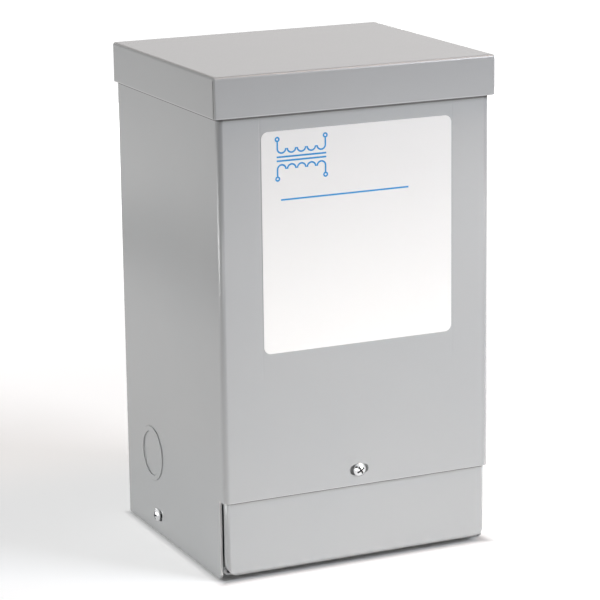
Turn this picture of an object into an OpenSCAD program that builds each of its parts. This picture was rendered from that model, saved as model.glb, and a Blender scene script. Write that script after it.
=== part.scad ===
// Small wall-mounted buck boost transformer in a bent sheet-steel case.
// A wrap-around body, a back panel and a rain cap hold the potted core and coil.
// A folded cover closes the wiring compartment below it and is held by three screws.
// Millimetres, +Z up, the front faces -Y, origin at the bottom centre of the overall box.

/* [Case] */
// Width over the two side walls
body_w = 145; // [125:1:200]
// Depth from the face of the front wall to the face of the back panel
body_d = 129; // [115:1:180]
// Height over the cap
case_h = 250; // [235:1:340]
// Thickness of all case sheet
sheet_t = 1.2; // [0.8:0.1:1.6]
// Inside radius of the bends between the front wall and the side walls
wrap_bend_in = 1.8; // [0.6:0.1:3]
// Height of the front wall's lower edge above the floor
front_wall_z = 40.5; // [34:0.5:44]
// Setback of the side walls' front edges below the front wall, where the cover's bends fill in
wall_setback = 6.5; // [6:0.5:9]
// Radius on the lower front corners of the side walls
foot_r = 3.5; // [2:0.5:8]

/* [Back panel] */
// Depth of the flanges folded forward along its sides
back_flange = 16; // [8:1:18]
// Inside radius of its bends
back_bend_in = 1.2; // [0.4:0.1:2.8]
// Clearance between its side flanges and the side walls
back_fit = 0.15; // [0.05:0.05:0.3]
// Distance between the two keyholes
keyhole_spacing = 90; // [60:1:96]
// Distance of the keyholes' round entries below the top of the cap
keyhole_drop = 29; // [24:1:32]
// Diameter of a keyhole's round entry
keyhole_entry_d = 13; // [11:0.5:15]
// Width of a keyhole's neck
keyhole_neck_w = 6.8; // [5.5:0.1:7]
// Rise from the entry's centre to the top of the neck's round end
keyhole_rise = 14; // [12:0.5:16]
// Distance between the two lower wall slots
wall_slot_spacing = 90; // [60:1:96]
// Height of the lower wall slots
wall_slot_z = 30; // [26:1:48]
// Width of a lower wall slot
wall_slot_w = 7; // [5.5:0.1:8]
// Length of a lower wall slot from end to end
wall_slot_len = 14; // [10:0.5:20]

/* [Cap] */
// Depth of the cap's skirt
cap_skirt = 20; // [15:0.5:26]
// Clearance between the skirt and the walls
cap_gap = 0.8; // [0.4:0.1:2]
// Inside radius of the bend at the cap's front
cap_front_bend_in = 0.5; // [0.2:0.1:2]
// Inside radius of the bends at the cap's sides
cap_bend_in = 0.3; // [0.2:0.1:2]
// Flat left on the ends of the front skirt behind their rounded corners
cap_end_flat = 0.2; // [0.1:0.1:0.4]
// Open seam at the two front corners of the skirt
cap_seam = 0.8; // [0.4:0.1:1.2]
// Distance below the cap's top at which the seams end
cap_seam_end = 1.7; // [1.4:0.1:2.2]
// Clearance between the underside of the cap and the tops of the walls
cap_seat = 0.2; // [0.1:0.05:0.4]

/* [Wiring cover] */
// Clearance between the cover and each side wall
cover_gap = 0.3; // [0.2:0.1:1]
// Height of the cover's underside above the floor
cover_lift = 2.5; // [1:0.5:4]
// Clearance between the cover and the back of the front wall
cover_lap = 0.3; // [0.1:0.1:0.6]
// Inside radius of the bend between its bottom and its front
cover_front_bend_in = 1; // [0.4:0.1:3]
// Inside radius of its other bends
cover_bend_in = 0.7; // [0.4:0.1:2]
// Radius of the relief cut at its lower front corners
cover_relief_r = 7; // [5:0.5:9]
// Straight length of the returns behind the bends at the sides of its front
cover_return = 1.7; // [0.2:0.1:3]
// Height of the flanges folded up along the sides of its bottom
cover_flange_h = 17; // [15:0.5:20]
// Straight height of those flanges at their front ends, from where they rise at 45 degrees
cover_flange_start = 1.1; // [0.5:0.1:4]
// Inset of the tongue that reaches up behind the front wall
tongue_inset = 9; // [7:0.5:30]
// Height of the tongue's top above the floor
tongue_top = 60; // [57:0.5:61]
// Clearance between the cover and the back panel, and under the front wall
cover_edge_gap = 0.5; // [0.3:0.1:1]

/* [Screws] */
// Diameter of the screw shanks
screw_d = 3.5; // [3:0.1:4.2]
// Length of the screws under the head
screw_len = 9; // [7:0.5:12]
// Diameter of the pan heads
head_d = 6.8; // [6.4:0.1:8]
// Height of the pan heads
head_h = 2.4; // [1.8:0.1:3]
// Height of the straight rim of the pan heads
head_rim_h = 1; // [0.6:0.1:1.4]
// Length of the cross recess arms from end to end
recess_len = 3.8; // [3.2:0.1:4.4]
// Width of the cross recess arms
recess_w = 0.9; // [0.7:0.1:1.2]
// Depth of the cross recess
recess_depth = 1.5; // [1:0.1:1.7]
// Radial clearance of the screws in the cover's extruded holes
screw_fit = 0.1; // [0.05:0.05:0.2]
// Outside diameter of the collars around the extruded holes
collar_d = 7; // [6:0.1:8]
// Height of those collars behind the sheet
collar_h = 1.6; // [1:0.1:2.5]
// Length of the slots that let the cover shift under its screws
adjust_slot_len = 10; // [8.5:0.1:12]
// Width of that slot in the front wall
front_slot_w = 5; // [4.4:0.1:6]
// Width of that slot in a side wall
side_slot_w = 6; // [4.4:0.1:6.2]
// Height of the front screw above the floor
front_screw_z = 48.5; // [46:0.5:52]
// Height of the side screws above the floor
side_screw_z = 9.8; // [8.5:0.1:11]
// Distance of the side screws from the face of the back panel
side_screw_back = 41; // [30:1:60]

/* [Knockouts] */
// Outside diameter of the ring for three-quarter inch conduit
knockout_d = 28.2; // [27:0.1:29]
// Diameter of the slug for half inch conduit inside that ring
slug_d = 22.2; // [18:0.1:23]
// Width of the sheared gaps around the ring and around the slug
knockout_shear = 0.5; // [0.3:0.1:0.8]
// How far the ring is pushed out of the wall
ring_set = 0.5; // [0.3:0.1:0.6]
// How far the slug is pushed in
slug_set = 0.2; // [0.1:0.1:0.4]
// Width of the ties above and below the ring and the slug
knockout_tie_w = 4; // [2:0.5:6]
// Clearance between the ties and the wall
knockout_tie_fit = 0.05; // [0.02:0.01:0.1]
// Height of the knockouts above the floor
knockout_z = 41.3; // [38:0.1:46]
// Distance of the knockouts from the face of the back panel
knockout_back = 34.5; // [33:0.5:60]

/* [Core and label] */
// Height of the potted core's lower face, the roof of the wiring compartment
core_z = 64; // [62:0.5:70]
// Free height between the potted core and the top of the cap
head_room = 44; // [42:1:80]
// Clearance between the potted core and the sheet around it
core_fit = 0.2; // [0.1:0.05:0.5]
// Width of the label
label_w = 101.6; // [60:0.1:110]
// Height of the label
label_h = 108.6; // [60:0.1:110]
// Radius of the label's corners
label_r = 3.6; // [1:0.1:8]
// Thickness of the label
label_t = 0.15; // [0.1:0.05:0.3]
// Distance of the label's upper edge below the top of the cap
label_drop = 28.2; // [24:0.1:40]
// Sideways offset of the label from the middle of the front wall
label_offset = 0.5; // [-3:0.5:3]

/* [Hidden] */
$fn = 96;
// Extra length that lets a cut run past the face it opens
over = 1;
paint = "#b3b5b5";
zinc = "#d5d6d8";
resin = "#3a3836";
vinyl = "#f7f7f7";

wrap_bend_r = sheet_t + wrap_bend_in;
back_bend_r = sheet_t + back_bend_in;
cap_front_bend_r = sheet_t + cap_front_bend_in;
cap_bend_r = sheet_t + cap_bend_in;
cap_end_r = sheet_t - cap_end_flat;
cover_front_bend_r = sheet_t + cover_front_bend_in;
cover_bend_r = sheet_t + cover_bend_in;

cap_reach = cap_gap + sheet_t;
front_reach = max(cap_reach, head_h);
// The overall box is centred on Y: the screw head or the skirt in front, the back panel behind
front_y = (front_reach - body_d) / 2;
back_y = front_y + body_d;
side_x = body_w / 2;
wall_top = case_h - sheet_t - cap_seat;
back_w = body_w - 2 * (sheet_t + back_fit);
keyhole_z = case_h - keyhole_drop;
core_top = case_h - head_room;
label_top = case_h - label_drop;

cover_x = side_x - sheet_t - cover_gap;
cover_y = front_y + sheet_t + cover_lap;
cover_front_top = front_wall_z - cover_edge_gap;
cover_rear = back_y - sheet_t - cover_edge_gap;
cover_flange_top = cover_lift + cover_flange_h;
// The bottom's side flanges start just behind the returns of the front
cover_return_y = cover_y + cover_bend_r + cover_return;
cover_flange_y = cover_return_y + cover_edge_gap;
// The back panel's side flanges stop above those of the cover
back_flange_z = cover_flange_top + cover_edge_gap;

// Shared outlines

// A rectangle from y = 0 to y = d, centred on x, with its two corners at y = 0 rounded as bends
module bent_block(w, d, r) {
    translate([-w / 2, r]) square([w, d - r]);
    translate([-w / 2 + r, 0]) square([w - 2 * r, d]);
    for (s = [-1, 1])
        translate([s * (w / 2 - r), r]) circle(r);
}

// Sheet folded to a channel with its web along y = 0
module channel(w, d, t, r) {
    difference() {
        bent_block(w, d, r);
        translate([0, t]) bent_block(w - 2 * t, d, r - t);
    }
}

// Round-ended slot along x, centred
module slot(len, w) {
    square([len - w, w], center = true);
    for (s = [-1, 1])
        translate([s * (len - w) / 2, 0]) circle(d = w);
}

// What a corner at the origin loses when it is rounded: the corner's inside lies towards sx and sy
module corner_waste(r, sx = 1, sy = 1) {
    difference() {
        translate([sx > 0 ? -over : -r, sy > 0 ? -over : -r]) square(r + over);
        translate([sx * r, sy * r]) circle(r);
    }
}

// Lays a flat outline in the YZ plane and gives it length along X from x = x0
module along_x(x0, len) {
    translate([x0, 0, 0]) rotate([90, 0, 90]) linear_extrude(len) children();
}

// Lays a flat outline in the XZ plane and gives it length along +Y from y = y0
module along_y(y0, len) {
    translate([0, y0 + len, 0]) rotate([90, 0, 0]) linear_extrude(len) children();
}

// Places a fitting on a side wall: its own +Z points out of the wall
module on_side(side, back, z) {
    translate([side * side_x, back_y - back, z]) rotate([0, side * 90, 0]) children();
}

// Case

// Side walls and front wall, folded from one sheet
module case_wrap() {
    color(paint) difference() {
        translate([0, front_y, 0])
            linear_extrude(wall_top) channel(body_w, body_d, sheet_t, wrap_bend_r);
        front_opening();
        foot_corners();
        front_adjust_slot();
        for (side = [-1, 1]) {
            on_side(side, side_screw_back, side_screw_z) side_adjust_slot();
            on_side(side, knockout_back, knockout_z) knockout_hole();
        }
    }
}

// The front wall and its bends stop above the wiring compartment, and the side walls step back
module front_opening() {
    translate([-side_x - over, front_y - over, -over])
        cube([body_w + 2 * over, wall_setback + over, front_wall_z + over]);
}

module foot_corners() {
    along_x(-side_x - over, body_w + 2 * over)
        translate([front_y + wall_setback, 0]) corner_waste(foot_r);
}

module front_adjust_slot() {
    along_y(front_y - over, sheet_t + 2 * over)
        translate([0, front_screw_z]) slot(adjust_slot_len, front_slot_w);
}

// On a side wall the slot runs from front to back
module side_adjust_slot() {
    translate([0, 0, -sheet_t - over]) linear_extrude(sheet_t + 2 * over)
        rotate(90) slot(adjust_slot_len, side_slot_w);
}

module knockout_hole() {
    translate([0, 0, -sheet_t - over])
        cylinder(d = knockout_d + 2 * knockout_shear, h = sheet_t + 2 * over);
}

// Flat back with flanges inside the side walls, two keyholes above the core
// and two slots in the wiring compartment
module back_panel() {
    color(paint) difference() {
        translate([0, back_y, 0]) mirror([0, 1, 0])
            linear_extrude(wall_top) channel(back_w, back_flange, sheet_t, back_bend_r);
        back_flange_feet();
        for (s = [-1, 1]) {
            through_back(s * keyhole_spacing / 2, keyhole_z) keyhole();
            through_back(s * wall_slot_spacing / 2, wall_slot_z) slot(wall_slot_len, wall_slot_w);
        }
    }
}

// Behind the wiring cover the flanges are cut away, to let the cover's own flanges pass
module back_flange_feet() {
    translate([-back_w / 2 - over, back_y - back_flange - over, -over])
        cube([back_w + 2 * over, back_flange + over - sheet_t - cover_edge_gap / 2, back_flange_z + over]);
}

module through_back(x, z) {
    along_y(back_y - sheet_t - over, sheet_t + 2 * over) translate([x, z]) children();
}

module keyhole() {
    neck_r = keyhole_neck_w / 2;
    circle(d = keyhole_entry_d);
    translate([-neck_r, 0]) square([keyhole_neck_w, keyhole_rise - neck_r]);
    translate([0, keyhole_rise - neck_r]) circle(neck_r);
}

// Cap

// Lid with a skirt on the front and the two sides, open and flush at the back
module top_cap() {
    color(paint) difference() {
        cap_block(0);
        cap_block(sheet_t);
        cap_corners();
        cap_seams();
    }
}

// The solid inside the cap's outer face, or inside its inner face for an inset of one sheet
module cap_block(inset) {
    open = inset > 0 ? over : 0;
    half = side_x + cap_reach - inset;
    front = front_y - cap_reach + inset;
    depth = back_y + open - front;
    top = case_h - inset;
    low = case_h - cap_skirt - open;
    difference() {
        translate([-half, front, low]) cube([2 * half, depth, top - low]);
        along_x(-half - over, 2 * (half + over))
            translate([front, top]) corner_waste(cap_front_bend_r - inset, 1, -1);
        for (s = [-1, 1])
            along_y(front - over, depth + 2 * over)
                translate([s * half, top]) corner_waste(cap_bend_r - inset, -s, -1);
    }
}

// The ends of the front skirt are rounded off at the front corners
module cap_corners() {
    for (s = [-1, 1])
        translate([s * (side_x + cap_reach), front_y - cap_reach, case_h - cap_skirt - over])
            linear_extrude(cap_skirt + 2 * over) corner_waste(cap_end_r, -s, 1);
}

// The side skirts end just behind the front skirt
module cap_seams() {
    skirt_z = case_h - cap_skirt;
    for (side = [-1, 1])
        translate([side * (side_x + cap_reach) - cap_reach, front_y - cap_gap, skirt_z - over])
            cube([2 * cap_reach, cap_seam, cap_skirt - cap_seam_end + over]);
}

// Wiring compartment cover

// Bottom, front and flanges of the wiring compartment, folded from one sheet
module wiring_cover() {
    color(paint) difference() {
        union() {
            difference() {
                cover_block(0);
                cover_block(sheet_t);
                cover_tongue_sides();
                cover_flange_tops();
                cover_flange_fronts();
                cover_slits();
                cover_reliefs();
            }
            cover_collars();
        }
        cover_holes();
    }
}

// The solid inside the cover's outer face, or inside its inner face for an inset of one sheet
module cover_block(inset) {
    open = inset > 0 ? over : 0;
    r = cover_bend_r - inset;
    half = cover_x - inset;
    front = cover_y + inset;
    depth = cover_rear + open - front;
    low = cover_lift + inset;
    rise = tongue_top + open - low;
    difference() {
        translate([-half, front, low]) cube([2 * half, depth, rise]);
        along_x(-half - over, 2 * (half + over))
            translate([front, low]) corner_waste(cover_front_bend_r - inset, 1, 1);
        for (s = [-1, 1]) {
            along_y(front - over, depth + 2 * over) translate([s * half, low]) corner_waste(r, -s, 1);
            translate([s * half, front, low - over])
                linear_extrude(rise + 2 * over) corner_waste(r, -s, 1);
        }
    }
}

// Only a narrower tongue goes on up behind the front wall
module cover_tongue_sides() {
    for (s = [-1, 1])
        translate([s * cover_x - tongue_inset, cover_y - over, cover_front_top])
            cube([2 * tongue_inset, cover_return_y - cover_y + 2 * over, tongue_top - cover_front_top + over]);
}

// Behind the front the sides are only as high as their flanges
module cover_flange_tops() {
    translate([-cover_x - over, cover_return_y, cover_flange_top])
        cube([2 * (cover_x + over), cover_rear - cover_return_y + over, tongue_top - cover_flange_top + over]);
}

// The flanges start low behind the front and slope up to their full height
module cover_flange_fronts() {
    start_z = cover_lift + cover_bend_r + cover_flange_start;
    run = cover_flange_top - start_z;
    inset = cover_edge_gap / 2;
    along_x(-cover_x - over, 2 * (cover_x + over))
        translate([cover_flange_y, start_z])
            polygon([[-inset, -inset], [run + over, run + over], [-inset, run + over]]);
}

// Slits between the returns of the front and the flanges of the bottom
module cover_slits() {
    for (s = [-1, 1])
        translate([s * cover_x - cover_relief_r, cover_return_y, cover_lift - over])
            cube([2 * cover_relief_r, cover_edge_gap, cover_flange_h + 2 * over]);
}

// Rounded reliefs at the lower corners of the front, where three bends would meet
module cover_reliefs() {
    for (s = [-1, 1])
        along_y(cover_y - over, cover_return_y - cover_y + over + cover_edge_gap / 2)
            translate([s * cover_x, cover_lift]) corner_waste(cover_relief_r, -s, 1);
}

// Collars drawn out of the sheet, in which the screws cut their thread
module cover_collars() {
    translate([0, cover_y + sheet_t / 2, front_screw_z]) rotate([-90, 0, 0])
        cylinder(d = collar_d, h = sheet_t / 2 + collar_h);
    for (side = [-1, 1])
        on_side(side, side_screw_back, side_screw_z)
            translate([0, 0, -2 * sheet_t - cover_gap - collar_h])
                cylinder(d = collar_d, h = sheet_t / 2 + collar_h);
}

module cover_holes() {
    d = screw_d + 2 * screw_fit;
    translate([0, cover_y - over, front_screw_z]) rotate([-90, 0, 0])
        cylinder(d = d, h = sheet_t + collar_h + 2 * over);
    for (side = [-1, 1])
        on_side(side, side_screw_back, side_screw_z)
            translate([0, 0, -2 * sheet_t - cover_gap - collar_h - over])
                cylinder(d = d, h = sheet_t + collar_h + cover_gap + over);
}

// Screws

// Pan head screw standing on the origin, head up
module pan_head_screw() {
    color(zinc) difference() {
        rotate_extrude() screw_profile();
        for (turn = [0, 90])
            rotate(turn) translate([-recess_len / 2, -recess_w / 2, head_h - recess_depth])
                cube([recess_len, recess_w, recess_depth + over]);
    }
}

// Half outline of the screw: the shank, and a head whose dome starts above a straight rim
module screw_profile() {
    dome_h = head_h - head_rim_h;
    dome_r = (pow(head_d / 2, 2) + pow(dome_h, 2)) / (2 * dome_h);
    translate([0, -screw_len]) square([screw_d / 2, screw_len + head_rim_h]);
    intersection() {
        square([head_d / 2, head_h]);
        translate([0, head_h - dome_r]) circle(dome_r);
    }
}

module front_screw() {
    translate([0, front_y, front_screw_z]) rotate([90, 0, 0]) pan_head_screw();
}

module left_screw() {
    on_side(-1, side_screw_back, side_screw_z) pan_head_screw();
}

module right_screw() {
    on_side(1, side_screw_back, side_screw_z) pan_head_screw();
}

// Knockouts

// Ring pushed out and slug pushed in, held by ties above and below
module knockout() {
    ring_r = knockout_d / 2;
    slug_r = slug_d / 2;
    color(paint) {
        difference() {
            translate([0, 0, ring_set - sheet_t]) cylinder(r = ring_r, h = sheet_t);
            translate([0, 0, ring_set - sheet_t - over])
                cylinder(r = slug_r + knockout_shear, h = sheet_t + 2 * over);
        }
        translate([0, 0, -slug_set - sheet_t]) cylinder(r = slug_r, h = sheet_t);
        knockout_ties(ring_r - knockout_shear, ring_r + knockout_shear - knockout_tie_fit, 0);
        knockout_ties(slug_r - knockout_shear, slug_r + 2 * knockout_shear, -slug_set);
    }
}

// The two ties across a sheared gap, from radius r0 to radius r1, as thick as both sides share
module knockout_ties(r0, r1, top) {
    low = ring_set - sheet_t;
    translate([0, 0, low]) linear_extrude(top - low) intersection() {
        difference() {
            circle(r1);
            circle(r0);
        }
        square([2 * r1, knockout_tie_w], center = true);
    }
}

module left_knockout() {
    on_side(-1, knockout_back, knockout_z) knockout();
}

module right_knockout() {
    on_side(1, knockout_back, knockout_z) knockout();
}

// Core and label

// Core and coil cast into one block that fills the case above the wiring compartment
module potted_core() {
    w = back_w - 2 * (sheet_t + core_fit);
    color(resin) translate([0, front_y + sheet_t + core_fit, core_z]) linear_extrude(core_top - core_z)
        bent_block(w, body_d - 2 * (sheet_t + core_fit), wrap_bend_r);
}

module front_label() {
    color(vinyl) along_y(front_y - label_t, label_t)
        translate([label_offset, label_top - label_h / 2]) {
            square([label_w - 2 * label_r, label_h], center = true);
            square([label_w, label_h - 2 * label_r], center = true);
            for (sx = [-1, 1], sz = [-1, 1])
                translate([sx * (label_w / 2 - label_r), sz * (label_h / 2 - label_r)]) circle(label_r);
        }
}

case_wrap();
back_panel();
top_cap();
wiring_cover();
potted_core();
front_label();
front_screw();
left_screw();
right_screw();
left_knockout();
right_knockout();
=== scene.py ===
"""Looks of a small wall-mounted transformer: enamel, label, screws, light and camera.

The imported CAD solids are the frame. Sheet pieces keep their CAD shape and get eased edges and
paint. The screws, the label, its print and the beads of paint in the knockouts are modelled here
and stand where the CAD has them. Named sizes are in millimetres, lamps and floor in metres.
"""

import math

import bmesh
import bpy
from mathutils import Matrix, Vector


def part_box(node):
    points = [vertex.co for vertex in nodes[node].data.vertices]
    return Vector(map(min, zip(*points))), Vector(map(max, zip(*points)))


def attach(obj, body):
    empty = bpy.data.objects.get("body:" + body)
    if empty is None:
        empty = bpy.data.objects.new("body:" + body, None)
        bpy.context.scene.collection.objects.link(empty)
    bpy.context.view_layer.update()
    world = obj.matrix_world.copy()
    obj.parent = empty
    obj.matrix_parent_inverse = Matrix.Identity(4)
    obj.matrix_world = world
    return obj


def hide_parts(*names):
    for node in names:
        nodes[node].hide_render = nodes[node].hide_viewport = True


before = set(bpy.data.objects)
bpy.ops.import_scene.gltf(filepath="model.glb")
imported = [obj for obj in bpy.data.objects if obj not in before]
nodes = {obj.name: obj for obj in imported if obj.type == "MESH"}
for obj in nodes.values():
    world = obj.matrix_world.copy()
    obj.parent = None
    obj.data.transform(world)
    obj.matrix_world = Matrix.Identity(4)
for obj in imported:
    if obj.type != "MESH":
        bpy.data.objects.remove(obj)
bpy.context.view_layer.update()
MM = 0.001
# Points closer than this are one point
SAME_POINT = 0.001


# Handling of meshes

def begin():
    """Drops every selection, so that the next operator works on its own new mesh alone."""
    if bpy.context.object and bpy.context.object.mode == "EDIT":
        bpy.ops.object.mode_set(mode="OBJECT")
    bpy.ops.object.select_all(action="DESELECT")


def edit():
    bpy.ops.object.mode_set(mode="EDIT")


def leave():
    bpy.ops.object.mode_set(mode="OBJECT")
    return bpy.context.object


def pick_faces(test):
    """Selects the faces of the mesh in edit mode whose middle and normal pass the test."""
    bpy.ops.mesh.select_mode(type="FACE")
    bpy.ops.mesh.select_all(action="DESELECT")
    mesh = bmesh.from_edit_mesh(bpy.context.object.data)
    for face in mesh.faces:
        face.select = test(face.calc_center_median() / MM, face.normal)
    mesh.select_flush_mode()
    bmesh.update_edit_mesh(bpy.context.object.data)


def pick_edges(test):
    """Selects the edges of the mesh in edit mode whose two ends pass the test."""
    bpy.ops.mesh.select_mode(type="EDGE")
    bpy.ops.mesh.select_all(action="DESELECT")
    mesh = bmesh.from_edit_mesh(bpy.context.object.data)
    for edge in mesh.edges:
        edge.select = test(*[vert.co / MM for vert in edge.verts])
    mesh.select_flush_mode()
    bmesh.update_edit_mesh(bpy.context.object.data)


def close_ends():
    """Fills the open rings of the mesh in edit mode, each with one face, and turns all faces outwards."""
    bpy.ops.mesh.select_mode(type="EDGE")
    bpy.ops.mesh.select_all(action="DESELECT")
    bpy.ops.mesh.select_non_manifold()
    bpy.ops.mesh.edge_face_add()
    bpy.ops.mesh.select_all(action="SELECT")
    bpy.ops.mesh.normals_make_consistent(inside=False)


def apply_modifier(piece, kind, **settings):
    modifier = piece.modifiers.new(kind.lower(), kind)
    for name, value in settings.items():
        setattr(modifier, name, value)
    bpy.context.view_layer.objects.active = piece
    bpy.ops.object.modifier_apply(modifier=modifier.name)


def settle(piece, name, place=None):
    """Puts the piece's place into its mesh, names it and lets it ride on the case."""
    piece.data.transform(piece.matrix_basis)
    piece.matrix_basis = Matrix.Identity(4)
    if place:
        piece.data.transform(place)
    piece.name = piece.data.name = name
    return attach(piece, "root")


def copy_of(piece):
    twin = piece.copy()
    twin.data = piece.data.copy()
    bpy.context.collection.objects.link(twin)
    return twin


# Handling of materials

def linear(code):
    """An sRGB hex colour as linear RGBA."""
    channels = [int(code[i:i + 2], 16) / 255 for i in (1, 3, 5)]
    return [c / 12.92 if c <= 0.04045 else ((c + 0.055) / 1.055) ** 2.4 for c in channels] + [1.0]


def add(tree, kind, inputs=None, **settings):
    """Adds a node with its settings. An input is a value, or the output socket that it is linked to."""
    node = tree.nodes.new(kind)
    for name, value in settings.items():
        setattr(node, name, value)
    for name, value in (inputs or {}).items():
        if isinstance(value, bpy.types.NodeSocket):
            tree.links.new(value, node.inputs[name])
        else:
            node.inputs[name].default_value = value
    return node


def new_material(name):
    material = bpy.data.materials.new(name)
    material.use_nodes = True
    tree = material.node_tree
    tree.nodes.clear()
    shader = add(tree, "ShaderNodeBsdfPrincipled")
    add(tree, "ShaderNodeOutputMaterial", {"Surface": shader.outputs["BSDF"]})
    where = add(tree, "ShaderNodeTexCoord").outputs["Object"]
    return material, tree, shader, where


def per_metre(mm):
    """The scale of a noise whose features are about so many millimetres wide."""
    return 1 / (mm * MM)


def coat(piece, material):
    piece.data.materials.clear()
    piece.data.materials.append(material)


# Enamel

# The coat as sprayed, a painted highlight for its lower edges, painted light for the cut ends that lie in
# shade, and a dark grey for specks of grime and for painted shade under lower edges
PAINT_DARK, PAINT_LIGHT, PAINT_HIGHLIGHT = "#b3b5b6", "#b8b9b9", "#cbcccc"
PAINT_LIT_END, GRIME_AND_SHADE = "#e4e4e3", "#757574"
# Sheet thickness, the front wall's lower edge and the step back of the side walls, as in the CAD
SHEET_T, FRONT_WALL_Z, SIDE_SETBACK = 1.2, 40.5, 6.5
# Width of the painted shade under the cap's lower edge and of the painted highlight along that edge, and
# their soft edge
LIP_SHADE, LIP_HIGHLIGHT, LIP_SOFT = 1.15, 0.3, 0.15
# The same lines at the front wall's lower edge are narrower by this factor
WALL_LINE = 0.6
# Width of the scribed lines, their reach below the label and the length over which they fade out
LINE_W, LINE_BELOW, LINE_FADE = 0.35, 9.0, 4.0
# Their distances outside the label's left and right edges
LINE_OUT_LEFT, LINE_OUT_RIGHT = 0.6, 0.3
# A point this near to the front wall or to a cut end is on it, with a soft edge
ON_WALL, ON_END, FACE_SOFT = 0.3, 0.15, 0.1
# Specks: width of a cell, radii to which a speck is solid and at which it is gone, share of cells with one
SPECK_CELL, SPECK_SOLID, SPECK_GONE, SPECK_SHARE = 30, 0.18, 0.36, 0.25


def baked_enamel():
    """Light grey baked enamel on steel sheet: even satin colour, soft highlights, faint orange peel.

    Scribed lines that locate the label run down the front wall. A dark line of painted shade lies
    under the lower edges of the cap and of the front wall, a light line of painted highlight runs
    along them, and a few specks of grime sit on the coat. The cut ends of the side walls beside the
    cover are painted lighter, as painted light. The grain of its gloss is drawn at 0.8 mm, coarser
    than real pigment, so that it shows."""
    material, tree, shader, where = new_material("baked_enamel_on_steel")
    clouds = add(tree, "ShaderNodeTexNoise", {"Vector": where, "Scale": per_metre(60), "Detail": 3.0})
    grain = add(tree, "ShaderNodeTexNoise", {"Vector": where, "Scale": per_metre(0.8), "Detail": 2.0})
    tone = add(tree, "ShaderNodeMix", {"Factor": clouds.outputs["Fac"], "A": linear(PAINT_DARK),
                                       "B": linear(PAINT_LIGHT)}, data_type="RGBA")
    speckled = add(tree, "ShaderNodeMix", {"Factor": specks(tree, where), "A": tone.outputs["Result"],
                                           "B": linear(GRIME_AND_SHADE)}, data_type="RGBA")
    place = add(tree, "ShaderNodeSeparateXYZ", {"Vector": where})
    # Painted shade: a dark line on the wall under the cap's lower edge and on the cover under the front
    # wall's lower edge
    painted_shade = edge_lines(tree, place, -LIP_SHADE / 2, LIP_SHADE / 2)
    shaded_coat = add(tree, "ShaderNodeMix", {"Factor": painted_shade, "A": speckled.outputs["Result"],
                                        "B": linear(GRIME_AND_SHADE)}, data_type="RGBA")
    # Painted highlight: a light line along the lower edges of the cap and of the front wall
    painted_highlight = edge_lines(tree, place, LIP_HIGHLIGHT, LIP_HIGHLIGHT / 2)
    highlit_coat = add(tree, "ShaderNodeMix", {"Factor": painted_highlight, "A": shaded_coat.outputs["Result"],
                                         "B": linear(PAINT_HIGHLIGHT)}, data_type="RGBA")
    # Painted light: the cut ends of the side walls beside the cover, which lie in shade, get a lighter tone
    thin = add(tree, "ShaderNodeMix", {"Factor": lit_cut_ends(tree, place), "A": highlit_coat.outputs["Result"],
                                       "B": linear(PAINT_LIT_END)}, data_type="RGBA")
    tree.links.new(thin.outputs["Result"], shader.inputs["Base Color"])
    gloss = add(tree, "ShaderNodeMapRange", {"Value": grain.outputs["Fac"], "To Min": 0.19, "To Max": 0.24})
    tree.links.new(gloss.outputs["Result"], shader.inputs["Roughness"])
    peel = add(tree, "ShaderNodeTexNoise", {"Vector": where, "Scale": per_metre(2.5), "Detail": 1.0})
    skin = add(tree, "ShaderNodeBump", {"Height": peel.outputs["Fac"], "Strength": 0.12,
                                        "Distance": 0.02 * MM})
    scribed = add(tree, "ShaderNodeBump", {"Height": locating_lines(tree, place), "Strength": 0.6,
                                           "Distance": 0.08 * MM, "Normal": skin.outputs["Normal"]},
                  invert=True)
    tree.links.new(scribed.outputs["Normal"], shader.inputs["Normal"])
    return material


def specks(tree, where):
    """1 in a dot of about half a millimetre, in a share of the cells, else 0."""
    cells = add(tree, "ShaderNodeTexVoronoi", {"Vector": where, "Scale": per_metre(SPECK_CELL)})
    dot = add(tree, "ShaderNodeMapRange", {"Value": cells.outputs["Distance"],
                                           "From Min": SPECK_SOLID / SPECK_CELL,
                                           "From Max": SPECK_GONE / SPECK_CELL, "To Min": 1.0, "To Max": 0.0})
    chosen = add(tree, "ShaderNodeSeparateColor", {"Color": cells.outputs["Color"]})
    few = add(tree, "ShaderNodeMath", {0: chosen.outputs["Red"], 1: 1 - SPECK_SHARE},
              operation="GREATER_THAN")
    return add(tree, "ShaderNodeMath", {0: dot.outputs["Result"], 1: few.outputs[0]},
               operation="MULTIPLY").outputs[0]


def band(tree, value, middle, half, soft):
    """1 within half a width of the middle, falling to 0 over the soft edge, all in millimetres."""
    away = add(tree, "ShaderNodeMath", {0: value, 1: middle * MM}, operation="SUBTRACT")
    size = add(tree, "ShaderNodeMath", {0: away.outputs[0]}, operation="ABSOLUTE")
    fall = add(tree, "ShaderNodeMapRange", {"Value": size.outputs[0], "From Min": half * MM,
                                            "From Max": (half + soft) * MM, "To Min": 1.0, "To Max": 0.0})
    return fall.outputs["Result"]


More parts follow.
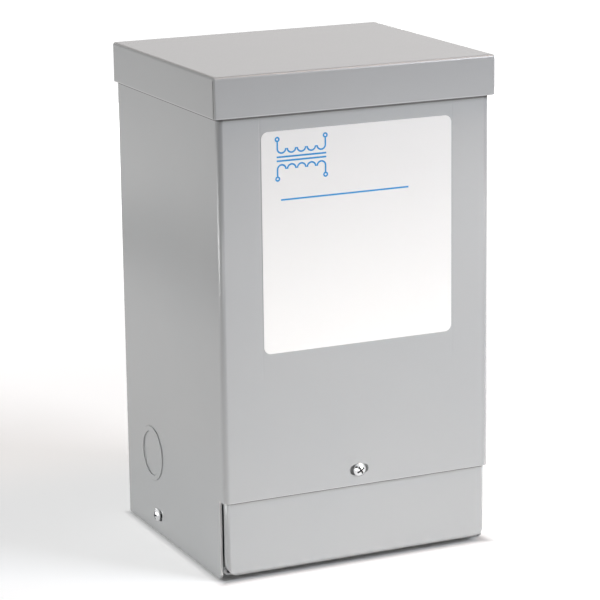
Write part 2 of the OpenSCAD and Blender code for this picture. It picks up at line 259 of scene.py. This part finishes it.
def edge_lines(tree, place, rise, half):
    """1 in a line that runs so far above the cap's lower edge and the front wall's, else 0."""
    y, z = place.outputs["Y"], place.outputs["Z"]
    inner_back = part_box("back_panel")[1].y - SHEET_T * MM
    behind_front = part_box("case_wrap")[0].y + 2 * SHEET_T * MM
    skirt = band(tree, z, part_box("top_cap")[0].z / MM + rise, half, LIP_SOFT)
    wall = band(tree, z, FRONT_WALL_Z + WALL_LINE * rise, WALL_LINE * half, LIP_SOFT)
    beside = add(tree, "ShaderNodeMath", {0: y, 1: inner_back}, operation="LESS_THAN")
    before = add(tree, "ShaderNodeMath", {0: y, 1: behind_front}, operation="LESS_THAN")
    upper = add(tree, "ShaderNodeMath", {0: skirt, 1: beside.outputs[0]}, operation="MULTIPLY")
    lower = add(tree, "ShaderNodeMath", {0: wall, 1: before.outputs[0]}, operation="MULTIPLY")
    return add(tree, "ShaderNodeMath", {0: upper.outputs[0], 1: lower.outputs[0]},
               operation="MAXIMUM").outputs[0]


def lit_cut_ends(tree, place):
    """1 on the cut front ends of the side walls beside the cover, which lie in shade and get a lighter tone
    as painted light, else 0.
    """
    end_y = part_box("case_wrap")[0].y / MM + SIDE_SETBACK
    end = band(tree, place.outputs["Y"], end_y, ON_END, FACE_SOFT)
    below = add(tree, "ShaderNodeMath", {0: place.outputs["Z"], 1: FRONT_WALL_Z * MM}, operation="LESS_THAN")
    return add(tree, "ShaderNodeMath", {0: end, 1: below.outputs[0]}, operation="MULTIPLY").outputs[0]


def locating_lines(tree, place):
    """1 in two uprights just outside the label, from under the cap to a little below the label, else 0."""
    x, y, z = (place.outputs[axis] for axis in "XYZ")
    low, high = (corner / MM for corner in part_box("front_label"))
    bottom, top = low.z - LINE_BELOW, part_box("top_cap")[1].z / MM
    left = band(tree, x, low.x - LINE_OUT_LEFT, LINE_W / 2, LINE_W)
    right = band(tree, x, high.x + LINE_OUT_RIGHT, LINE_W / 2, LINE_W)
    rise = band(tree, z, (bottom + top) / 2, (top - bottom) / 2, LINE_FADE)
    front = band(tree, y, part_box("case_wrap")[0].y / MM, ON_WALL, FACE_SOFT)
    uprights = add(tree, "ShaderNodeMath", {0: left, 1: right}, operation="MAXIMUM")
    ended = add(tree, "ShaderNodeMath", {0: uprights.outputs[0], 1: rise}, operation="MULTIPLY")
    return add(tree, "ShaderNodeMath", {0: ended.outputs[0], 1: front}, operation="MULTIPLY").outputs[0]


# Other materials

def bright_zinc():
    """Bright zinc plate on turned steel: mirror-like and bluish, with a faint haze.

    The haze is drawn at 0.6 mm, coarser than the real turning marks, so that it shows."""
    material, tree, shader, where = new_material("bright_zinc_plate")
    haze = add(tree, "ShaderNodeTexNoise", {"Vector": where, "Scale": per_metre(0.6), "Detail": 4.0})
    tint = add(tree, "ShaderNodeMix", {"Factor": haze.outputs["Fac"], "A": linear("#d2d5d9"),
                                       "B": linear("#e4e4e2")}, data_type="RGBA")
    tree.links.new(tint.outputs["Result"], shader.inputs["Base Color"])
    gloss = add(tree, "ShaderNodeMapRange", {"Value": haze.outputs["Fac"], "To Min": 0.16, "To Max": 0.30})
    tree.links.new(gloss.outputs["Result"], shader.inputs["Roughness"])
    bump = add(tree, "ShaderNodeBump", {"Height": haze.outputs["Fac"], "Strength": 0.2,
                                        "Distance": 0.01 * MM})
    tree.links.new(bump.outputs["Normal"], shader.inputs["Normal"])
    shader.inputs["Metallic"].default_value = 1.0
    return material


def recess_zinc_painted_dark():
    """Zinc down in a punched recess, painted dark and dull as painted shade where little light reaches.

    The dark tone is drawn with patches of 0.5 mm, coarser than real, so that they show."""
    material, tree, shader, where = new_material("zinc_with_painted_recess_shade")
    # Patches vary the dark tone of the painted shade at random
    film = add(tree, "ShaderNodeTexNoise", {"Vector": where, "Scale": per_metre(0.5), "Detail": 3.0})
    tint = add(tree, "ShaderNodeMix", {"Factor": film.outputs["Fac"], "A": linear("#3c3e41"),
                                       "B": linear("#585a5d")}, data_type="RGBA")
    tree.links.new(tint.outputs["Result"], shader.inputs["Base Color"])
    shader.inputs["Roughness"].default_value = 0.45
    shader.inputs["Metallic"].default_value = 1.0
    return material


def white_vinyl():
    """Cast white vinyl film: bright and even, semi-gloss, with the faintest ripple of the wall under it."""
    material, tree, shader, where = new_material("cast_white_vinyl")
    ripple = add(tree, "ShaderNodeTexNoise", {"Vector": where, "Scale": per_metre(12), "Detail": 2.0})
    tone = add(tree, "ShaderNodeMix", {"Factor": ripple.outputs["Fac"], "A": linear("#fdfcf9"),
                                       "B": linear("#fefdfb")}, data_type="RGBA")
    tree.links.new(tone.outputs["Result"], shader.inputs["Base Color"])
    gloss = add(tree, "ShaderNodeMapRange", {"Value": ripple.outputs["Fac"], "To Min": 0.34, "To Max": 0.42})
    tree.links.new(gloss.outputs["Result"], shader.inputs["Roughness"])
    bump = add(tree, "ShaderNodeBump", {"Height": ripple.outputs["Fac"], "Strength": 0.1,
                                        "Distance": 0.03 * MM})
    tree.links.new(bump.outputs["Normal"], shader.inputs["Normal"])
    shader.inputs["IOR"].default_value = 1.46
    return material


def screened_ink():
    """Blue screen-printing ink on the film: solid colour with the slight mottle of the mesh.

    The mottle is drawn at 0.5 mm, coarser than a real mesh, so that it shows."""
    material, tree, shader, where = new_material("screened_blue_ink")
    mottle = add(tree, "ShaderNodeTexNoise", {"Vector": where, "Scale": per_metre(0.5), "Detail": 2.0})
    tone = add(tree, "ShaderNodeMix", {"Factor": mottle.outputs["Fac"], "A": linear("#0d93d8"),
                                       "B": linear("#1a9ee2")}, data_type="RGBA")
    tree.links.new(tone.outputs["Result"], shader.inputs["Base Color"])
    gloss = add(tree, "ShaderNodeMapRange", {"Value": mottle.outputs["Fac"], "To Min": 0.42, "To Max": 0.52})
    tree.links.new(gloss.outputs["Result"], shader.inputs["Roughness"])
    return material


def sand_filled_resin():
    """Cast resin filled with quartz sand: dark brown-grey, dull, with pale grains and shallow pits.

    The grains are drawn at 1.2 mm, coarser than real sand, so that they show."""
    material, tree, shader, where = new_material("cast_sand_filled_resin")
    sand = add(tree, "ShaderNodeTexVoronoi", {"Vector": where, "Scale": per_metre(1.2)})
    flow = add(tree, "ShaderNodeTexNoise", {"Vector": where, "Scale": per_metre(25), "Detail": 4.0})
    grains = add(tree, "ShaderNodeMapRange", {"Value": sand.outputs["Distance"], "From Min": 0.0,
                                              "From Max": 0.35, "To Min": 1.0, "To Max": 0.0})
    tone = add(tree, "ShaderNodeMix", {"Factor": flow.outputs["Fac"], "A": linear("#34302d"),
                                       "B": linear("#453f3a")}, data_type="RGBA")
    speckled = add(tree, "ShaderNodeMix", {"Factor": grains.outputs["Result"], "A": tone.outputs["Result"],
                                           "B": linear("#6a6258")}, data_type="RGBA")
    tree.links.new(speckled.outputs["Result"], shader.inputs["Base Color"])
    bump = add(tree, "ShaderNodeBump", {"Height": sand.outputs["Distance"], "Strength": 0.5,
                                        "Distance": 0.2 * MM})
    tree.links.new(bump.outputs["Normal"], shader.inputs["Normal"])
    shader.inputs["Roughness"].default_value = 0.8
    return material


# Sheet pieces, whose CAD shape is kept

# Radius of the eased edges of each piece
EASED = {"case_wrap": 0.25, "back_panel": 0.25, "wiring_cover": 0.25, "top_cap": 0.4,
         "left_knockout": 0.25, "right_knockout": 0.25}
# Triangles are joined where points lie this near, and flats where faces turn by less than this angle
JOIN_WITHIN, FLAT_WITHIN = 0.002, 0.3
# An edge that turns by more than this angle, in degrees like the last, is eased
SHARP_FROM = 40


def ease_edges(node, mm):
    """Rounds the cut edges as a coat of paint does. Modifiers do it, so the CAD mesh stays as it is."""
    weld = node.modifiers.new("join_triangles", "WELD")
    weld.merge_threshold = JOIN_WITHIN * MM
    flats = node.modifiers.new("join_flats", "DECIMATE")
    flats.decimate_type = "DISSOLVE"
    flats.angle_limit = math.radians(FLAT_WITHIN)
    bevel = node.modifiers.new("painted_edge", "BEVEL")
    bevel.width = mm * MM
    bevel.segments = 2
    bevel.limit_method = "ANGLE"
    bevel.angle_limit = math.radians(SHARP_FROM)
    bevel.harden_normals = True


def even_bends(node):
    """Shades each bend from its own faces, so that the small eased ends do not tilt its highlight."""
    even = node.modifiers.new("even_shading", "WEIGHTED_NORMAL")
    even.keep_sharp = True


# Screws

# Pan head: radius, height, straight rim, the roll at its foot, the flat on its crown and the eased edges
HEAD_R, HEAD_H, RIM_H = 3.4, 2.4, 0.9
FOOT_ROLL, CROWN_R, HEAD_EASE = 0.12, 0.02, 0.1
# Facets round the head and rings up its dome
HEAD_SIDES, DOME_STEPS = 48, 10
# Angles in degrees: the head's edges are eased from the first, the screw is shaded smooth up to the second
HEAD_SHARP, SCREW_SMOOTH = 35, 40
# Shank: radius over the thread and at its root, length, and the taper at its end
SHANK_R, ROOT_R, SHANK_LEN = 1.75, 1.25, 9.0
TIP_R, TIP_LEN = 0.9, 0.7
# Thread: pitch, turns, size of its section, where it starts under the head, and facets in a turn
THREAD_PITCH, THREAD_TURNS, RIDGE_R, THREAD_FROM = 1.27, 6, 0.42, 0.6
THREAD_STEPS = 24
# Cross recess: width and length of its arms, their taper towards the point, and the depth
ARM_W, ARM_LEN, ARM_TAPER, RECESS_DEPTH = 1.3, 2.9, 0.4, 1.7
# The way that each screw faces, and how far it happens to be turned, in degrees
DRIVES = {"front_screw": ((0, -1, 0), 32), "left_screw": ((-1, 0, 0), 8), "right_screw": ((1, 0, 0), 61)}


def turned(rings, sides):
    """Turns a solid as on a lathe: a circle is extruded to each (radius, height) of the rings, in mm."""
    begin()
    radius, height = rings[0]
    bpy.ops.mesh.primitive_circle_add(vertices=sides, radius=radius * MM, location=(0, 0, height * MM),
                                      fill_type="NGON")
    bpy.ops.object.transform_apply(location=True, rotation=True, scale=True)
    edit()
    for (r0, z0), (r1, z1) in zip(rings, rings[1:]):
        bpy.ops.mesh.extrude_region_move(TRANSFORM_OT_translate={"value": (0, 0, (z1 - z0) * MM)})
        bpy.ops.transform.resize(value=(r1 / r0, r1 / r0, 1), center_override=(0, 0, 0))
    close_ends()
    return leave()


def cross_punch():
    """The punch for a cross recess: a square post with four arms, all tapered towards its point."""
    begin()
    bpy.ops.mesh.primitive_cube_add(size=1, location=(0, 0, HEAD_H * MM))
    bpy.context.object.scale = (ARM_W * MM, ARM_W * MM, 2 * RECESS_DEPTH * MM)
    bpy.ops.object.transform_apply(location=True, rotation=True, scale=True)
    edit()
    pick_faces(lambda middle, normal: abs(normal.z) < 0.5)
    bpy.ops.mesh.extrude_faces_move(TRANSFORM_OT_shrink_fatten={"value": ARM_LEN * MM})
    pick_faces(lambda middle, normal: normal.z < -0.5)
    bpy.ops.transform.resize(value=(ARM_TAPER, ARM_TAPER, 1), center_override=(0, 0, 0))
    bpy.ops.mesh.select_all(action="SELECT")
    bpy.ops.mesh.normals_make_consistent(inside=False)
    return leave()


def pan_head(plate, recess):
    """Domed head with a cross recess and a rolled rim, on a blank shank."""
    dome_h = HEAD_H - RIM_H
    dome_r = (HEAD_R ** 2 + dome_h ** 2) / (2 * dome_h)
    half = math.asin(HEAD_R / dome_r)
    slopes = [half * k / DOME_STEPS for k in range(DOME_STEPS, 0, -1)]
    dome = [(dome_r * math.sin(slope), HEAD_H - dome_r * (1 - math.cos(slope))) for slope in slopes]
    shank = [(TIP_R, -SHANK_LEN), (ROOT_R, -SHANK_LEN + TIP_LEN), (ROOT_R, 0)]
    foot = [(HEAD_R - FOOT_ROLL, 0), (HEAD_R, FOOT_ROLL)]
    head = turned(shank + foot + dome + [(CROWN_R, HEAD_H)], HEAD_SIDES)
    punch = cross_punch()
    coat(head, plate)
    # The punch carries the zinc painted dark as shade, which the boolean gives to the walls of the recess
    coat(punch, recess)
    apply_modifier(head, "BOOLEAN", operation="DIFFERENCE", object=punch, solver="EXACT",
                   material_mode="TRANSFER")
    bpy.data.objects.remove(punch)
    apply_modifier(head, "BEVEL", width=HEAD_EASE * MM, segments=2, limit_method="ANGLE",
                   angle_limit=math.radians(HEAD_SHARP))
    return head


def thread():
    """Spaced thread of a sheet-metal screw: a three-sided section swept down the shank."""
    begin()
    start = ((SHANK_R - RIDGE_R) * MM, 0, -THREAD_FROM * MM)
    bpy.ops.mesh.primitive_circle_add(vertices=3, radius=RIDGE_R * MM, location=start,
                                      rotation=(math.pi / 2, math.pi / 2, 0))
    bpy.ops.object.transform_apply(location=True, rotation=True, scale=True)
    ridge = bpy.context.object
    apply_modifier(ridge, "SCREW", axis="Z", angle=2 * math.pi, screw_offset=-THREAD_PITCH * MM,
                   iterations=THREAD_TURNS, steps=THREAD_STEPS, render_steps=THREAD_STEPS,
                   use_merge_vertices=True, merge_threshold=SAME_POINT * MM)
    begin()
    ridge.select_set(True)
    bpy.context.view_layer.objects.active = ridge
    edit()
    close_ends()
    return leave()


def cover_screw(plate, recess):
    head, ridge = pan_head(plate, recess), thread()
    coat(ridge, plate)
    begin()
    ridge.select_set(True)
    head.select_set(True)
    bpy.context.view_layer.objects.active = head
    bpy.ops.object.join()
    bpy.ops.object.shade_smooth_by_angle(angle=math.radians(SCREW_SMOOTH))
    return head


def drive_screws(plate, recess):
    """One screw is modelled and copied to the front and to both side walls, each with its own turn."""
    first = cover_screw(plate, recess)
    for node, (out, turn) in DRIVES.items():
        low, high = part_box(node)
        out = Vector(out)
        reach = max(out.dot(low), out.dot(high))
        middle = (low + high) / 2
        seat = middle + out * (reach - HEAD_H * MM - out.dot(middle))
        place = (Matrix.Translation(seat) @ out.to_track_quat("Z", "Y").to_matrix().to_4x4()
                 @ Matrix.Rotation(math.radians(turn), 4, "Z"))
        piece = settle(copy_of(first), "cover_" + node, place)
        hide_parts(node)
    bpy.data.objects.remove(first)


# Knockouts

# Radii of the ring and of the slug, and the gaps sheared around them, as in the CAD
RING_R, SLUG_R, SHEAR = 14.1, 11.1, 0.5
# Radius of the beads, and how far their middle lies inside the wall's face
BEAD_R, BEAD_IN = 0.27, 0.35
# Facets round a bead and along it
BEAD_SIDES, BEAD_STEPS = 10, 72


def paint_beads(material):
    """The coat bridges the sheared gaps around each ring and slug, so they show as shallow grooves."""
    wall_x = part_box("case_wrap")[0].x + BEAD_IN * MM
    for side, bead_x in (("left", wall_x), ("right", -wall_x)):
        low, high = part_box(side + "_knockout")
        middle = (low + high) / 2
        for name, radius in (("ring", RING_R), ("slug", SLUG_R)):
            start = (bead_x, middle.y + (radius + SHEAR / 2) * MM, middle.z)
            begin()
            bpy.ops.mesh.primitive_circle_add(vertices=BEAD_SIDES, radius=BEAD_R * MM, location=start)
            bpy.ops.object.transform_apply(location=True, rotation=True, scale=True)
            edit()
            bpy.ops.mesh.select_all(action="SELECT")
            bpy.ops.mesh.spin(steps=BEAD_STEPS, angle=2 * math.pi, center=(bead_x, middle.y, middle.z),
                              axis=(1, 0, 0))
            bpy.ops.mesh.select_all(action="SELECT")
            bpy.ops.mesh.remove_doubles(threshold=SAME_POINT * MM)
            bpy.ops.mesh.normals_make_consistent(inside=False)
            bead = leave()
            bpy.ops.object.shade_smooth()
            coat(bead, material)
            settle(bead, f"{side}_{name}_paint_bead")


# Label

# Radius of the corners, as in the CAD, and their facets
CORNER_R, CORNER_STEPS = 3.6, 10
# The film's front edge: how far in it starts to roll off, and by how much
EDGE_IN, EDGE_ROLL = 0.1, 0.05
# Angles in degrees: the film's edges are rolled off from the first, and it is shaded smooth up to the second
FILM_SHARP, FILM_SMOOTH = 50, 30


def label_film(material):
    """The film is a thin block with its corners rounded and its front edge rolled off."""
    low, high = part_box("front_label")
    film_t = (high.y - low.y) / MM
    begin()
    bpy.ops.mesh.primitive_cube_add(size=1, location=(low + high) / 2)
    bpy.context.object.scale = high - low
    bpy.ops.object.transform_apply(location=True, rotation=True, scale=True)
    edit()
    pick_edges(lambda a, b: abs(a.y - b.y) > film_t / 2)
    bpy.ops.mesh.bevel(offset=CORNER_R * MM, segments=CORNER_STEPS, affect="EDGES")
    pick_faces(lambda middle, normal: normal.y < -0.9)
    bpy.ops.mesh.inset(thickness=EDGE_IN * MM)
    piece = leave()
    apply_modifier(piece, "BEVEL", width=EDGE_ROLL * MM, segments=2, limit_method="ANGLE",
                   angle_limit=math.radians(FILM_SHARP))
    bpy.ops.object.shade_smooth_by_angle(angle=math.radians(FILM_SMOOTH))
    coat(piece, material)
    piece = settle(piece, "label_film")
    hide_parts("front_label")


# Print on the label: a plain diagram of two windings and a rule, in place of wording

# Thickness of the ink and width of its lines
INK_T, INK_LINE = 0.02, 0.8
# Half rings of a winding, their outer radius, and the facets of a whole ring
HUMPS, HUMP_R, RING_SIDES = 5, 2.6, 40
# Outer radius of a terminal, length of a lead, and the gap beside and between the bars of the core
TERMINAL_R, LEAD_LEN, CORE_GAP = 1.3, 3.2, 1.1
# Distances of the diagram and of the rule from the label's left and upper edges
DIAGRAM_IN, DIAGRAM_DOWN = 8.0, 8.5
RULE_IN, RULE_DOWN, RULE_LEN = 10.0, 33.0, 68.0


def ink_ring(x, z, outer):
    """A flat ring on the face of the film: a disc, inset by the width of a line, less its middle."""
    begin()
    face_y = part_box("front_label")[0].y
    bpy.ops.mesh.primitive_circle_add(vertices=RING_SIDES, radius=outer * MM, fill_type="NGON",
                                      location=(x * MM, face_y, z * MM), rotation=(math.pi / 2, 0, 0))
    bpy.ops.object.transform_apply(location=True, rotation=True, scale=True)
    edit()
    bpy.ops.mesh.select_all(action="SELECT")
    bpy.ops.mesh.inset(thickness=INK_LINE * MM)
    bpy.ops.mesh.delete(type="FACE")
    return leave()


def ink_winding(x, z, bulge):
    """A row of half rings, bulging up (1) or down (-1) from the height z."""
    hump = ink_ring(x + HUMP_R, z, HUMP_R)
    edit()
    bpy.ops.mesh.select_all(action="SELECT")
    bpy.ops.mesh.bisect(plane_co=(0, 0, z * MM), plane_no=(0, 0, bulge), clear_inner=True)
    leave()
    apply_modifier(hump, "ARRAY", count=HUMPS, use_relative_offset=False, use_constant_offset=True,
                   constant_offset_displace=(2 * HUMP_R * MM, 0, 0), use_merge_vertices=True,
                   merge_threshold=SAME_POINT * MM)
    return hump


def ink_bar(x0, x1, z0, z1):
    """A flat bar on the face of the film, drawn out from a short stroke as wide as it."""
    begin()
    face_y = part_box("front_label")[0].y
    stroke = INK_LINE / 2
    bpy.ops.mesh.primitive_plane_add(size=1, location=((x0 + stroke / 2) * MM, face_y, (z0 + z1) / 2 * MM),
                                     rotation=(math.pi / 2, 0, 0))
    bpy.context.object.scale = (stroke * MM, (z1 - z0) * MM, 1)
    bpy.ops.object.transform_apply(location=True, rotation=True, scale=True)
    edit()
    pick_edges(lambda a, b: min(a.x, b.x) > x0 + stroke / 2)
    bpy.ops.mesh.extrude_region_move(TRANSFORM_OT_translate={"value": ((x1 - x0 - stroke) * MM, 0, 0)})
    return leave()


def label_print(material):
    """Two windings face each other over the two bars of the core, and each has its leads and terminals."""
    low, high = (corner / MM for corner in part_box("front_label"))
    left = low.x + DIAGRAM_IN
    right = left + 2 * HUMP_R * HUMPS
    upper = high.z - DIAGRAM_DOWN
    core_top = upper - HUMP_R - CORE_GAP
    core_low = core_top - 2 * INK_LINE - CORE_GAP
    lower = core_low - CORE_GAP - HUMP_R
    rule_x, rule_z = low.x + RULE_IN, high.z - RULE_DOWN
    strokes = [ink_bar(left, right, core_top - INK_LINE, core_top),
               ink_bar(left, right, core_low, core_low + INK_LINE),
               ink_bar(rule_x, rule_x + RULE_LEN, rule_z - INK_LINE, rule_z)]
    for level, bulge in ((upper, -1), (lower, 1)):
        strokes.append(ink_winding(left, level, bulge))
        for x in (left, right - INK_LINE):
            ends = sorted((level, level - bulge * LEAD_LEN))
            strokes.append(ink_bar(x, x + INK_LINE, *ends))
            strokes.append(ink_ring(x + INK_LINE / 2, level - bulge * (LEAD_LEN + TERMINAL_R), TERMINAL_R))
    begin()
    for stroke in strokes:
        stroke.select_set(True)
    bpy.context.view_layer.objects.active = strokes[0]
    bpy.ops.object.join()
    piece = bpy.context.object
    apply_modifier(piece, "SOLIDIFY", thickness=INK_T * MM, offset=1)
    coat(piece, material)
    settle(piece, "label_print")


# Floor, light and camera

# Width of the square floor
FLOOR_W = 12
# Half width and half depth of the ground under the case, which the camera sees as dark as it is
FOOTPRINT = 0.071, 0.0605, 0
# Over this distance outside that ground the floor's lift grows to this value
BESIDE_CASE, NEAR_LIFT = 0.006, 0.58
# Between these distances from the middle of the case the lift grows to full white
FAR_FROM, FAR_TO = 0.25, 0.9
# Strength of the room's light on the case, which the camera and mirrored rays see as full white
AMBIENT = 0.12
# Place in mm, angles in degrees and lens of the camera, fitted to the straight edges of the case
CAMERA_AT = -557.3, -1211.8, 449.3
YAW, TILT, ROLL = 24.63, 13.82, -0.75
LENS, SENSOR_W = 161.94, 36.0
CLIP_FROM, CLIP_TO = 0.05, 50.0
HALF_PIXEL = 0.5 / 600


def studio_floor():
    """Pale seamless floor. The camera sees it lifted towards white, and it keeps the shadow of the case.

    The fibre of the paper is drawn at 3 mm, coarser than real, so that it shows."""
    begin()
    bpy.ops.mesh.primitive_plane_add(size=FLOOR_W, location=(0, 0, 0))
    floor = bpy.context.object
    floor.name = "studio_floor"
    material = bpy.data.materials.new("matte_white_backdrop_paper")
    material.use_nodes = True
    tree = material.node_tree
    tree.nodes.clear()
    where = add(tree, "ShaderNodeTexCoord").outputs["Object"]
    fibre = add(tree, "ShaderNodeTexNoise", {"Vector": where, "Scale": per_metre(3), "Detail": 3.0})
    tone = add(tree, "ShaderNodeMix", {"Factor": fibre.outputs["Fac"], "A": linear("#d6d6d6"),
                                       "B": linear("#dadada")}, data_type="RGBA")
    paper = add(tree, "ShaderNodeBsdfDiffuse", {"Color": tone.outputs["Result"]})
    lift = add(tree, "ShaderNodeMath", {0: seen_rays(tree), 1: white_lift(tree, where)}, operation="MULTIPLY")
    glow = add(tree, "ShaderNodeEmission", {"Strength": lift.outputs[0]})
    both_shaders = add(tree, "ShaderNodeAddShader", {0: paper.outputs[0], 1: glow.outputs[0]})
    add(tree, "ShaderNodeOutputMaterial", {"Surface": both_shaders.outputs[0]})
    coat(floor, material)


def white_lift(tree, where):
    """How much white the floor gains in the picture: none under the case, some beside it, all far away."""
    away = add(tree, "ShaderNodeVectorMath", {0: where}, operation="LENGTH").outputs["Value"]
    folded = add(tree, "ShaderNodeVectorMath", {0: where}, operation="ABSOLUTE")
    beyond = add(tree, "ShaderNodeVectorMath", {0: folded.outputs[0], 1: FOOTPRINT}, operation="SUBTRACT")
    past = add(tree, "ShaderNodeSeparateXYZ", {"Vector": beyond.outputs[0]})
    outside = add(tree, "ShaderNodeMath", {0: past.outputs["X"], 1: past.outputs["Y"]}, operation="MAXIMUM")
    near = add(tree, "ShaderNodeMapRange", {"Value": outside.outputs[0], "From Min": 0.0,
                                            "From Max": BESIDE_CASE, "To Min": 0.0, "To Max": NEAR_LIFT})
    far = add(tree, "ShaderNodeMapRange", {"Value": away, "From Min": FAR_FROM, "From Max": FAR_TO,
                                           "To Min": 0.0, "To Max": 1 - NEAR_LIFT})
    return add(tree, "ShaderNodeMath", {0: near.outputs["Result"], 1: far.outputs["Result"]},
               operation="ADD").outputs[0]


def seen_rays(tree):
    """1 for rays from the camera and for those that shiny and clear surfaces send on, else 0."""
    path = add(tree, "ShaderNodeLightPath")
    mirror = add(tree, "ShaderNodeMath", {0: path.outputs["Is Camera Ray"], 1: path.outputs["Is Glossy Ray"]},
                 operation="MAXIMUM")
    return add(tree, "ShaderNodeMath", {0: mirror.outputs[0], 1: path.outputs["Is Transmission Ray"]},
               operation="MAXIMUM").outputs[0]


def studio_world():
    world = bpy.data.worlds.new("studio_world")
    bpy.context.scene.world = world
    world.use_nodes = True
    tree = world.node_tree
    tree.nodes.clear()
    level = add(tree, "ShaderNodeMapRange", {"Value": seen_rays(tree), "To Min": AMBIENT, "To Max": 1.0})
    sky = add(tree, "ShaderNodeBackground", {"Color": linear("#ffffff"), "Strength": level.outputs["Result"]})
    add(tree, "ShaderNodeOutputWorld", {"Surface": sky.outputs[0]})


def soft_box(name, place, aim, size, power, colour, spread=180):
    """A rectangular soft light. A spread under 180 degrees is a grid that keeps its light together."""
    lamp = bpy.data.lights.new(name, "AREA")
    lamp.shape = "RECTANGLE"
    lamp.size, lamp.size_y = size
    lamp.spread = math.radians(spread)
    lamp.energy = power
    lamp.color = linear(colour)[:3]
    holder = bpy.data.objects.new(name, lamp)
    bpy.context.collection.objects.link(holder)
    holder.location = place
    holder.visible_camera = False
    holder.rotation_mode = "QUATERNION"
    holder.rotation_quaternion = (Vector(aim) - Vector(place)).to_track_quat("-Z", "Y")


def black_card(name, place, aim, width, height):
    """A card of black cloth that the camera does not see, a dark side for the enamel and the zinc to mirror.

    Its weave is drawn at 4 mm, coarser than real."""
    begin()
    bpy.ops.mesh.primitive_plane_add(size=1, location=place)
    card = bpy.context.object
    card.name = name
    card.scale = (width, height, 1)
    card.rotation_mode = "QUATERNION"
    card.rotation_quaternion = (Vector(aim) - Vector(place)).to_track_quat("Z", "Y")
    material, tree, shader, where = new_material("black_cotton_cloth")
    weave = add(tree, "ShaderNodeTexNoise", {"Vector": where, "Scale": per_metre(4), "Detail": 2.0})
    tone = add(tree, "ShaderNodeMix", {"Factor": weave.outputs["Fac"], "A": linear("#101010"),
                                       "B": linear("#1c1c1c")}, data_type="RGBA")
    tree.links.new(tone.outputs["Result"], shader.inputs["Base Color"])
    shader.inputs["Roughness"].default_value = 0.95
    coat(card, material)
    card.visible_camera = False


def photo_camera():
    """Long lens, from the front left and a little above, as in the photograph."""
    yaw, tilt, roll = (math.radians(angle) for angle in (YAW, TILT, ROLL))
    forward = Vector((math.sin(yaw) * math.cos(tilt), math.cos(yaw) * math.cos(tilt), -math.sin(tilt)))
    right = Vector((math.cos(yaw), -math.sin(yaw), 0))
    up = right.cross(forward)
    rolled_right = math.cos(roll) * right + math.sin(roll) * up
    rolled_up = math.cos(roll) * up - math.sin(roll) * right
    lens = bpy.data.cameras.new("photo_camera")
    lens.sensor_width = SENSOR_W
    lens.lens = LENS
    lens.clip_start, lens.clip_end = CLIP_FROM, CLIP_TO
    lens.shift_x, lens.shift_y = -HALF_PIXEL, -HALF_PIXEL
    camera = bpy.data.objects.new("photo_camera", lens)
    bpy.context.collection.objects.link(camera)
    axes = Matrix((rolled_right, rolled_up, -forward)).transposed().to_4x4()
    camera.matrix_world = Matrix.Translation(Vector(CAMERA_AT) * MM) @ axes
    bpy.context.scene.camera = camera


# The dressed part

enamel = baked_enamel()
for name, rounding in EASED.items():
    ease_edges(nodes[name], rounding)
    coat(nodes[name], enamel)
even_bends(nodes["top_cap"])
paint_beads(enamel)
coat(nodes["potted_core"], sand_filled_resin())
drive_screws(bright_zinc(), recess_zinc_painted_dark())
label_film(white_vinyl())
label_print(screened_ink())

# The studio: place, aim and size of each lamp and card in metres, power in watts, spread in degrees

studio_floor()
studio_world()
soft_box("top_box", (0.46, -0.26, 1.2), (0, 0, 0.25), (0.3, 0.3), 2.75, "#ffd9c0")
soft_box("front_box", (0.72, -0.8, 0.88), (0, 0, 0.18), (0.5, 0.5), 11.2, "#f4f8ff")
soft_box("left_box", (-1.3, 0.5, 0.14), (-0.07, 0, 0.08), (0.9, 0.24), 2.7, "#ffffff")
soft_box("low_front_box", (0.4, -0.65, 0.06), (0, -0.06, -0.01), (0.45, 0.11), 0.19, "#fffdfa", 40)
soft_box("low_left_box", (-0.75, 0.15, 0.06), (-0.07, 0, 0.02), (0.45, 0.11), 0.24, "#ffffff", 60)
soft_box("low_corner_box", (-0.42, -0.6, 0.06), (-0.07, -0.06, 0.01), (0.3, 0.1), 0.06, "#ffffff", 45)
soft_box("back_box", (0.3, 1.3, 0.13), (0, 0.06, 0.12), (0.9, 0.2), 6, "#ffffff")
black_card("front_card", (-0.6, -0.78, 0.5), (-0.07, -0.06, 0.2), 0.7, 0.6)
black_card("floor_card", (-0.33, 0.56, 0.003), (-0.33, 0.56, 1), 0.07, 0.5)
photo_camera()
bpy.context.scene.view_settings.view_transform = "Standard"
